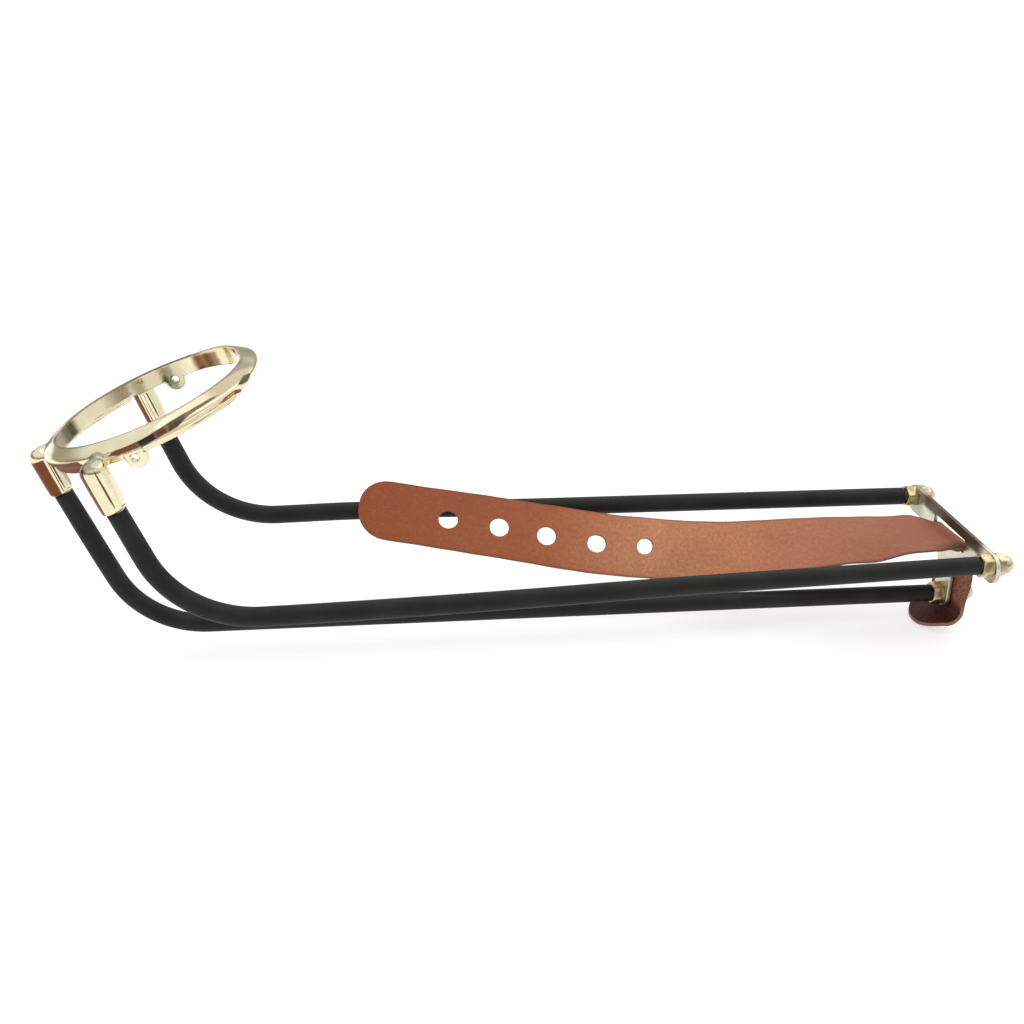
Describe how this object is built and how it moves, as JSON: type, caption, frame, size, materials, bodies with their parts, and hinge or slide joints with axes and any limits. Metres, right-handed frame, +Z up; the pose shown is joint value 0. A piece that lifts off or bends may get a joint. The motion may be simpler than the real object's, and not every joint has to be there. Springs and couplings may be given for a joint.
{
  "type": "billiard table pocket ball rail",
  "caption": "Pocket ball rail for a billiard table: a cast ring with rubber-covered rods that carry the ball to an end plate, and a punched leather hanging strap.",
  "frame": {"origin": "middle of the line through the two screw lugs, on the axis of the pocket ring", "axes": "+X along the rails from the ring towards the end plate, +Y to the left rail, +Z up, as it hangs under a table"},
  "size_m": [0.4363, 0.1106, 0.1368],
  "materials": {
    "ring": "polished cast metal",
    "rod": "drawn steel rod",
    "sleeve": "matt black rubber tube",
    "plate": "passivated zinc plating",
    "nut": "yellow plated steel",
    "strap": "brown grain leather"
  },
  "bodies": {
    "rail_frame": {"pocket_ring": "ring", "lower_rod": "rod", "left_rod": "rod", "right_rod": "rod", "lower_sleeve": "sleeve", "left_sleeve": "sleeve", "right_sleeve": "sleeve", "end_plate": "plate", "lower_jam_nut": "nut", "left_jam_nut": "nut", "right_jam_nut": "nut", "lower_dome_nut": "nut", "left_dome_nut": "nut", "right_dome_nut": "nut", "strap_anchor": "strap"},
    "strap": {"strap_twist": "strap", "strap_tail": "strap"}
  },
  "joints": [
    {"name": "strap_swing", "type": "hinge", "parent": "rail_frame", "child": "strap", "pos_m": [0.3655, 0, -0.07115], "axis": [0, 1, 0], "range_deg": [0, 90]}
  ]
}
